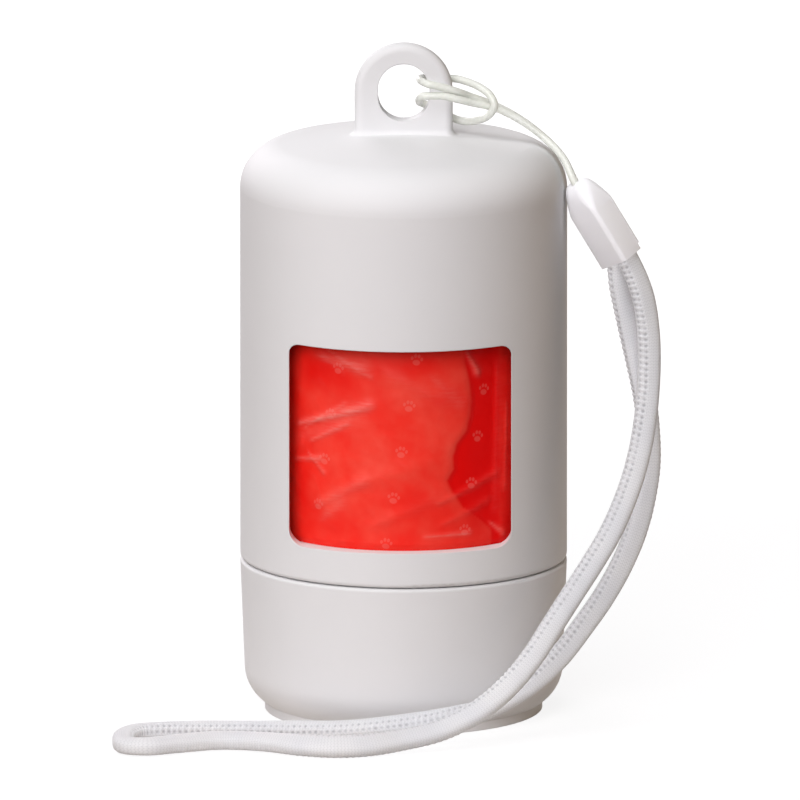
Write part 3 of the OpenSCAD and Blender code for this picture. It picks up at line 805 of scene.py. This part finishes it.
strapFinish = {
    "colour": (0.71, 0.71, 0.715, 1), "second": (0.66, 0.665, 0.685, 1), "paintedShade": (0.44, 0.44, 0.46, 1),
    "clear": 0.05, "milky": 0.3, "milkyReach": 0.0008,
    "columns": 18.0, "pitch": 0.00037, "gapShade": 0.55,
    "fuzzScale": 6000.0, "fuzz": 0.5, "patchScale": 140.0, "bump": 0.5, "depth": 0.00003,
    "roughness": (0.72, 0.88), "specular": 0.3, "sheen": 0.2, "sheenRoughness": 0.5,
}
strap.data.materials.append(knitMaterial(strapFinish))


def nylonMaterial(values):
    mat, tree = startMaterial("clearNylon")
    cloud = addNoise(tree, objectPlace(tree), values["cloudScale"], 2.0)
    tone = twoTones(tree, cloud, 0.35, 0.65, values)
    # painted shade: the cord is darkened in the grooves between its strands
    grooveShade = addMath(tree, "MULTIPLY", vertexMark(tree, "pit"), values["grooveShade"])
    return closeMaterial(mat, {
        "Base Color": addMix(tree, grooveShade, tone, values["paintedShade"]), "IOR": values["ior"],
        "Roughness": addRange(tree, cloud, 0.3, 0.7, *values["roughness"]), **milkyInputs(values)})


hitchFinish = {
    "colour": (0.74, 0.755, 0.71, 1), "second": (0.69, 0.705, 0.65, 1), "paintedShade": (0.60, 0.61, 0.56, 1),
    "grooveShade": 0.4, "cloudScale": 500.0, "roughness": (0.26, 0.40), "ior": 1.5,
    "clear": 0.12, "milky": 0.5, "milkyReach": 0.0008,
}
clearNylon = nylonMaterial(hitchFinish)
hitch.data.materials.append(clearNylon)
dressNode("cord_knot", clearNylon)
linkLamp("lanyardFill", lit=["knittedStrap", "hitchCord", "ferruleBody", "ferruleLid"])
linkLamp("key", shading=["housing", "cap"])
print("cords finished")

filmValues = {
    "radius": 0.01658,    # where the loosened bag lies on the roll
    "bulge": 0.00072,    # how far it stands out behind the window
    "pressed": 0.00028,    # how far it falls back where it lies tight
    "mostSunk": 0.0003,    # how far its creases may sink into the roll's skin
    "highest": 0.0177,    # it stays inside the housing's bore
    "lowZ": 0.0036, "highZ": 0.063,
    "wrap": 332.0,    # degrees round the roll
    "middleZ": 0.0358, "reachZ": 0.016, "reachTurn": 1.2,
    "neckTop": 23.15, "clearOfNeck": 24.3,    # millimetres up: below them the cap's neck leaves less room
    "neckRoom": 0.01682,
    "easing": 0.00012, "easingFrom": 0.0003,    # how softly it meets what confines it
    "columns": 380, "rows": 210,
    "crumple": 0.00009, "wideShare": 1.2, "fineShare": 0.7, "fineWhite": 0.12,
    # creases: seed, count, shortest and longest pitch, slant
    "wide": (7, 9, 5.0, 11.0, 25), "fine": (11, 16, 1.3, 3.6, 20), "slantSpread": 32,
    "edgeFrom": 0.6, "edgeTo": 1.1, "edgeSway": 0.25,    # millimetres either side of the tight stretch's edge
    "lessTight": 0.45, "lessTightFrom": 0.6, "lessTightTo": 0.8,
    "slackFold": 0.55, "fullFold": 0.4,    # a fold lifts the tight bag, fully from this whitening and painted highlight
    "haze": 0.05, "hazeFrom": 0.4, "hazeTo": 1.0,
}

# folds across the window in millimetres: two ends, half width, rise, sharpness of one side, whitening with
# painted highlight
filmFolds = [
    (-13.2, 38.0, -4.4, 40.8, 0.70, 0.26, 0.5, 0.62),
    (-12.6, 37.6, -7.2, 41.0, 0.30, 0.08, 0.3, 0.30),
    (-11.4, 36.2, -7.0, 38.5, 0.50, 0.16, 0.4, 0.40),
    (-12.4, 36.8, -6.0, 39.6, 1.50, 0.00, 0.2, 0.16),
    (-14.2, 33.3, -10.6, 33.9, 0.42, 0.16, 0.4, 0.45),
    (-12.2, 34.4, -10.0, 32.3, 0.30, 0.12, 0.4, 0.35),
    (-9.9, 46.5, -5.2, 45.7, 0.90, 0.16, 0.3, 0.36),
    (-9.2, 47.4, -4.0, 44.6, 0.35, 0.08, 0.3, 0.25),
    (-10.4, 28.4, -5.0, 31.4, 0.90, 0.16, 0.3, 0.20),
    (-9.6, 27.0, -7.8, 28.6, 0.90, 0.04, 0.3, 0.22),
    (3.8, 44.2, 6.6, 41.4, 0.90, 0.03, 0.2, 0.15),
    (2.7, 24.7, 8.0, 24.9, 0.36, 0.14, 0.4, 0.40),
    (-3.0, 26.4, 3.6, 29.4, 1.10, 0.12, 0.3, 0.05),
    (-4.5, 31.6, 2.2, 33.6, 1.60, 0.14, 0.2, 0.0),
    (-1.2, 44.6, 4.6, 41.8, 1.30, 0.14, 0.2, 0.08),
    (4.4, 29.0, 11.6, 31.8, 0.60, 0.14, 0.3, 0.10),
    (5.0, 26.4, 10.4, 28.6, 0.60, 0.12, 0.3, 0.08),
    (8.0, 46.9, 9.1, 44.9, 0.55, 0.14, 0.3, 0.40),
    (12.1, 45.0, 11.7, 27.5, 0.70, 0.06, 0.3, 0.07),
    (13.6, 40.0, 13.3, 30.0, 0.45, 0.05, 0.3, 0.10),
    (11.3, 25.6, 13.0, 24.3, 0.42, 0.14, 0.4, 0.40),
]

# left edge of the stretch that lies tight on the roll, in millimetres: height, and place across
tightEdge = [
    (18, 11.6), (25, 11.2), (26.5, 9.4), (28.2, 7.0), (30, 5.6), (31.6, 5.0), (33, 5.9), (34.6, 5.7),
    (36, 6.1), (37.6, 7.3), (39.5, 8.0), (41.5, 8.2), (43.6, 7.9), (46, 7.3), (49, 7.2), (55, 9.0),
]
tightEnd = 12.0    # across from here it lies less tight

# painted light and shade on the bag, as soft patches; the darker ones along the top and the left edge are
# painted shadow of the window's rim. In millimetres:
# middle across, middle height, half width, half height, change
lightAndShadePatches = [
    (-11.2, 44.2, 3.0, 2.8, -0.50), (-7.2, 42.8, 2.2, 2.0, -0.22), (2.0, 46.2, 5.0, 1.4, -0.30),
    (0.6, 38.0, 4.6, 3.6, 0.22), (-3.6, 33.2, 4.0, 3.0, 0.18), (4.4, 41.6, 1.6, 1.2, -0.20),
    (-13.4, 30.5, 1.4, 5.0, -0.35), (-9.0, 27.2, 2.4, 1.8, -0.18), (1.0, 29.6, 1.8, 1.2, -0.20),
    (8.6, 27.4, 2.2, 1.8, -0.40), (5.6, 25.4, 2.4, 0.8, -0.22), (-5.0, 37.2, 1.4, 0.9, -0.15),
]


def foldHeight(across, high, fold):
    # share of a soft ridge between two ends that fades out past them
    x0, z0, x1, z1, half, _, sharp, _ = fold
    dx, dz = x1 - x0, z1 - z0
    span = math.hypot(dx, dz)
    along = ((across - x0) * dx + (high - z0) * dz) / span
    off = ((across - x0) * -dz + (high - z0) * dx) / span
    past = np.maximum(np.maximum(-along, along - span), 0)
    thin = half * (0.55 + 0.45 * np.clip(along / span, 0, 1))
    side = np.where(off > 0, off / thin, off / (thin * (1 - 0.75 * sharp)))
    return np.exp(-np.abs(side) ** 1.7 - (past / (1.2 * half)) ** 2)


def easeIn(value, low, high):
    t = np.clip((value - low) / (high - low), 0, 1)
    return t * t * (3 - 2 * t)


def waves(across, up, spread, seed, count, low, high, slant):
    # seeded sum of sharp-crested waves in slanted directions
    draw = np.random.default_rng(seed)
    total = np.zeros_like(across)
    for _ in range(count):
        pitch = draw.uniform(low, high)
        turn = math.radians(slant + draw.normal(0, spread))
        phase = draw.uniform(0, 1)
        sway = draw.uniform(0.1, 0.3)
        drift = across * draw.uniform(0.03, 0.1) + up * draw.uniform(0.03, 0.1)
        x = (across * math.sin(turn) + up * math.cos(turn)) / pitch + phase
        x = x + sway * np.sin(2 * math.pi * drift)
        total += 1 - np.abs(2 * (x - np.floor(x + 0.5))) ** 0.8 * 2
    return total / count


def filmShape(values, folds, angle, z):
    # radius of the bag at each point, how whitened it is there with painted highlight, and how loose it lies,
    # a mark that also carries painted light and shade
    across, high = angle * values["radius"] / mm, z / mm
    shares = [foldHeight(across, high, fold) for fold in folds]
    ridge = sum(share * fold[5] for share, fold in zip(shares, folds)) * mm
    whiteningAndHighlight = sum(share * fold[7] for share, fold in zip(shares, folds))
    wide = waves(across, high, values["slantSpread"], *values["wide"])
    fine = waves(across, high, values["slantSpread"], *values["fine"])
    # the swell lifts the bag behind the window and lies down towards the roll's ends
    near = np.exp(-((z - values["middleZ"]) / values["reachZ"]) ** 4 - (angle / values["reachTurn"]) ** 6)
    edge = np.interp(high, *np.array(tightEdge).T) + values["edgeSway"] * wide
    past = easeIn(across, tightEnd - values["lessTightFrom"], tightEnd + values["lessTightTo"])
    lifted = values["slackFold"] * np.clip(whiteningAndHighlight / values["fullFold"], 0, 1)
    tight = easeIn(across, edge - values["edgeFrom"], edge + values["edgeTo"])
    tight = tight * (1 - values["lessTight"] * past) * (1 - lifted)
    radius = values["radius"] + near * (values["bulge"] - values["pressed"] * tight)
    radius = radius + ridge * (0.3 + 0.7 * near)
    rough = values["crumple"] * (values["wideShare"] * wide + values["fineShare"] * fine)
    radius = radius + rough * (0.5 + 0.5 * near) * (1 - 0.6 * tight)
    radius = np.maximum(radius, values["radius"] - values["mostSunk"])
    confined = (values["neckRoom"], values["highest"])
    room = np.interp(high, (values["neckTop"], values["clearOfNeck"]), confined) - values["easing"]
    over = values["easing"] * np.tanh((radius - room) / values["easingFrom"])
    radius = np.where(radius > room, room + over, radius)
    hazy = values["haze"] * easeIn(across, tightEnd - values["hazeFrom"], tightEnd + values["hazeTo"]) * near
    # the creases' whitening is partly the film's own stress whitening and partly painted highlight; past the
    # tight stretch's end it is paler too
    crease = np.clip(whiteningAndHighlight + hazy + values["fineWhite"] * np.clip(fine, 0, 1) * (1 - tight), 0, 1)
    # painted light and shade in soft patches
    patches = sum(
        change * np.exp(-((across - x) / halfX) ** 2 - ((high - y) / halfY) ** 2)
        for x, y, halfX, halfY, change in lightAndShadePatches)
    # the loose mark: lighter in the swell's middle and darker away from it, the bag's deeper red where it
    # lies tight, mottling by the wide creases, and the painted patches
    loose = np.clip((0.30 + 0.50 * near) * (1 - easeIn(tight, 0.2, 0.8)) + patches + 0.30 * wide, 0, 1)
    return radius, crease, loose


def makeFilm(values, folds):
    bm = bmesh.new()
    uvLayer = bm.loops.layers.uv.new("UVMap")
    creaseLayer = bm.verts.layers.float.new("crease")
    looseWithShadeLayer = bm.verts.layers.float.new("loose")
    bmesh.ops.create_grid(bm, x_segments=values["columns"], y_segments=values["rows"], size=1.0)
    flat = np.array([v.co for v in bm.verts])
    # the columns stand closer together behind the window
    half = math.radians(values["wrap"]) / 2
    angle = half * (0.45 * flat[:, 0] + 0.55 * flat[:, 0] ** 3)
    z = values["lowZ"] + (flat[:, 1] + 1) / 2 * (values["highZ"] - values["lowZ"])
    radius, crease, loose = filmShape(values, folds, angle, z)
    spots = np.stack([radius * np.sin(angle), -radius * np.cos(angle), z], axis=1)
    for face in bm.faces:
        for loop in face.loops:
            k = loop.vert.index
            loop[uvLayer].uv = (angle[k] * values["radius"], z[k])
    for v, spot, mark, looseWithShade in zip(bm.verts, spots, crease, loose):
        v.co = spot
        v[creaseLayer] = mark
        v[looseWithShadeLayer] = looseWithShade
    bmesh.ops.recalc_face_normals(bm, faces=bm.faces)
    bm.normal_update()
    front = min(bm.faces, key=lambda f: f.calc_center_median().y)
    if front.normal.y > 0:
        bmesh.ops.reverse_faces(bm, faces=bm.faces)
    return finishPiece("loosenedBag", bm, body="bag_roll")


film = makeFilm(filmValues, filmFolds)
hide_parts("loose_bag")

# a paw print's pads in shares of its size: middle across, middle up, half width, half height
pawPads = [
    (0, -0.5, 0.95, 0.75), (-1.15, 0.45, 0.36, 0.5), (-0.42, 1.1, 0.38, 0.52), (0.42, 1.1, 0.38, 0.52),
    (1.15, 0.45, 0.36, 0.5),
]


def makePawGroup(pads):
    # a small plain paw print, repeated in staggered rows, from a UV map in metres
    tree, given = startGroup(
        "pawPrints", {"Vector": None, "Across": 0.012, "Along": 0.010, "Size": 0.001}, ("Mask",))
    calc = partial(addMath, tree)
    cut = addNode(tree, "ShaderNodeSeparateXYZ", {0: given["Vector"]}).outputs
    column = calc("DIVIDE", cut[0], given["Across"])
    row = calc("MULTIPLY_ADD", calc("FLOOR", column), 0.5, calc("DIVIDE", cut[1], given["Along"]))
    x, y = (
        calc("MULTIPLY", calc("SUBTRACT", calc("FRACT", lane), 0.5), calc("DIVIDE", cell, given["Size"]))
        for lane, cell in ((column, given["Across"]), (row, given["Along"])))
    total = 0.0
    for midX, midY, halfX, halfY in pads:
        a = calc("DIVIDE", calc("SUBTRACT", x, midX), halfX)
        b = calc("DIVIDE", calc("SUBTRACT", y, midY), halfY)
        away = calc("SQRT", calc("MULTIPLY_ADD", a, a, calc("MULTIPLY", b, b)))
        total = calc("MAXIMUM", total, addRange(tree, away, 0.8, 1.05, 1.0, 0.0))
    return closeGroup(tree, {"Mask": total})


def makeFilmGroup():
    # skin of thin film: small creases that run up and down it, and slow haze
    tree, given = startGroup("filmSkin", {"Scale": 300.0}, ("Height", "Haze"))
    place = objectPlace(tree)
    squeezed = addNode(tree, "ShaderNodeMapping", {"Vector": place, "Scale": (1.0, 1.0, 0.35)}).outputs[0]
    small = addNoise(tree, squeezed, given["Scale"], 4.0, distortion=0.6)
    haze = addNoise(tree, place, given["Scale"], 3.0)
    sharp = addMath(tree, "ABSOLUTE", addMath(tree, "SUBTRACT", small, 0.5))
    return closeGroup(tree, {"Height": addMath(tree, "MULTIPLY_ADD", sharp, -1.6, small), "Haze": haze})


pawPrints = makePawGroup(pawPads)
filmSkin = makeFilmGroup()


def dressBag(tree, values, tone):
    # the loosened bag's deeper red where it lies tight, with painted light and shade, its whitened creases
    # with painted highlight, and faint prints
    # deeper red where the bag lies tight, with the painted light and shade that the loose mark carries
    loose = addRange(tree, vertexMark(tree, "loose"), 0.05, 0.9)
    tone = addMix(tree, loose, values["deep"], tone)
    onFilm = addNode(tree, "ShaderNodeUVMap", uv_map="UVMap").outputs[0]
    slanted = addNode(tree, "ShaderNodeMapping", {
        "Vector": onFilm, "Rotation": (0, 0, math.radians(values["tornTurn"])),
        "Scale": values["tornStretch"]})
    torn = addNoise(tree, slanted.outputs[0], values["tornScale"], 3.0, 0.6)
    share = addRange(tree, torn, 0.36, 0.64, 0.45, 1.1)
    broken = addMath(tree, "MULTIPLY", vertexMark(tree, "crease"), share)
    # whitened creases, partly stress whitening and partly painted highlight, broken up by noise
    tone = addMix(tree, addMath(tree, "MULTIPLY", broken, values["whiteningAndHighlight"]), tone, values["pale"])
    turned = addNode(tree, "ShaderNodeMapping", {
        "Vector": onFilm, "Location": (values["printShift"], 0, 0),
        "Rotation": (0, 0, math.radians(values["printTurn"]))})
    paws = placeGroup(tree, pawPrints, {
        "Vector": turned.outputs[0], "Across": values["printAcross"], "Along": values["printAlong"],
        "Size": values["printSize"]})["Mask"]
    return addMix(tree, addMath(tree, "MULTIPLY", paws, values["ink"]), tone, values["pale"])


def filmMaterial(name, values, printed):
    mat, tree = startMaterial(name)
    skin = placeGroup(tree, filmSkin, {"Scale": values["scale"]})
    tone = twoTones(tree, skin["Haze"], 0.35, 0.7, values)
    if printed:
        tone = dressBag(tree, values, tone)
    return closeMaterial(mat, {
        "Base Color": tone, "Normal": addBump(tree, skin["Height"], values).outputs[0],
        "Roughness": addRange(tree, skin["Haze"], 0.3, 0.7, *values["roughness"]),
        "IOR": values["ior"], "Specular IOR Level": values["specular"]})


# deep: the bag's deeper red where it lies tight, also used for painted shade; pale: whitened creases with
# painted highlight, and the prints
filmFinish = {
    "colour": (0.96, 0.034, 0.020, 1), "second": (0.97, 0.075, 0.048, 1), "deep": (0.84, 0.001, 0.001, 1),
    "pale": (0.95, 0.38, 0.33, 1),
    "scale": 260.0, "roughness": (0.30, 0.44), "bump": 0.30, "depth": 0.00006, "ior": 1.5, "specular": 0.13,
    "whiteningAndHighlight": 0.62, "tornScale": 1800.0, "tornTurn": -18.0, "tornStretch": (0.3, 1.6, 1.0), "ink": 0.14,
    "printTurn": 9.0, "printShift": 0.0012, "printAcross": 0.0092, "printAlong": 0.0058, "printSize": 0.0005,
}
film.data.materials.append(filmMaterial("redFilm", filmFinish, True))

rollValues = {
    "bore": 7.08, "radius": 16.14, "lowZ": 2.45, "highZ": 64.15,    # millimetres
    "winds": 30, "windStep": 0.02, "sink": 0.16, "uneven": 0.07, "rimSink": 0.1,
    "rings": 24, "steps": 144,    # rings up its side, and steps round it
    "ripple": 0.05, "rippleFrom": 0.5, "seed": 5, "sharpOver": 50.0,
}


def makeRoll(values):
    # the wound roll: a turned form with an edge for each few winds at both ends
    draw = np.random.default_rng(values["seed"])
    bm = bmesh.new()
    pitch = (values["radius"] - values["bore"]) / values["winds"]
    low, high = [], []
    # each wind's end starts sunk and rises: shares of the pitch, and of the sink
    for k in range(values["winds"]):
        near = values["bore"] + k * pitch
        for out, share in ((values["windStep"] / pitch, 1.0), (0.35, 0.15), (0.8, 0.0)):
            sink = values["sink"] * share
            low.append((near + out * pitch, values["lowZ"] + sink + draw.uniform(0, values["uneven"])))
            high.append((near + out * pitch, values["highZ"] - sink - draw.uniform(0, values["uneven"])))
    low.append((values["radius"], values["lowZ"] + values["rimSink"]))
    high.append((values["radius"], values["highZ"] - values["rimSink"]))
    levels = np.linspace(values["lowZ"], values["highZ"], values["rings"] + 2)[1:-1]
    belt = [(values["radius"], z) for z in levels]
    ring = [bm.verts.new((r, 0, z)) for r, z in low + belt + high[::-1]]
    edges = [bm.edges.new((ring[k], ring[(k + 1) % len(ring)])) for k in range(len(ring))]
    bmesh.ops.spin(
        bm, geom=ring + edges, cent=(0, 0, 0), axis=(0, 0, 1), angle=2 * math.pi, steps=values["steps"],
        use_merge=True, use_duplicate=False)
    bmesh.ops.remove_doubles(bm, verts=bm.verts, dist=1e-5)
    for v in bm.verts:
        # hand-wound unevenness
        a = math.atan2(v.co.x, -v.co.y)
        r = math.hypot(v.co.x, v.co.y)
        wave = math.sin(3 * a + 0.4 * v.co.z) + math.sin(7 * a - 0.9 * v.co.z + 1) + math.sin(2.1 * r + 5 * a)
        if r > values["bore"] + values["rippleFrom"]:
            scale = (r + values["ripple"] * (wave / 3 - 1) * r / values["radius"]) / r
            v.co.x *= scale
            v.co.y *= scale
    bmesh.ops.recalc_face_normals(bm, faces=bm.faces)
    bmesh.ops.scale(bm, verts=bm.verts, vec=(mm, mm, mm))
    roll = finishPiece("woundRoll", bm, body="bag_roll")
    roll.data.set_sharp_from_angle(angle=math.radians(values["sharpOver"]))
    return roll


roll = makeRoll(rollValues)
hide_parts("bag_roll")
rollFinish = dict(
    filmFinish, bump=0.4, depth=0.0001, scale=420.0,
    colour=(0.80, 0.016, 0.012, 1), second=(0.86, 0.03, 0.018, 1))
roll.data.materials.append(filmMaterial("woundFilm", rollFinish, False))
print("film:", len(film.data.vertices), "points")

boardFinish = {
    "colour": (0.50, 0.39, 0.27, 1), "second": (0.58, 0.47, 0.34, 1),
    "roughness": 0.8, "roughSpread": 0.1, "grainScale": 2500.0, "cloudScale": 300.0,
    "bump": 0.6, "depth": 0.00004, "softEdge": 0.0,
    "ior": 1.45, "specular": 0.3, "clear": 0.0, "milky": 0.0, "milkyReach": 0.001,
}
dressNode("roll_core", mouldedMaterial("woundBoard", boardFinish))
print("roll and film finished")
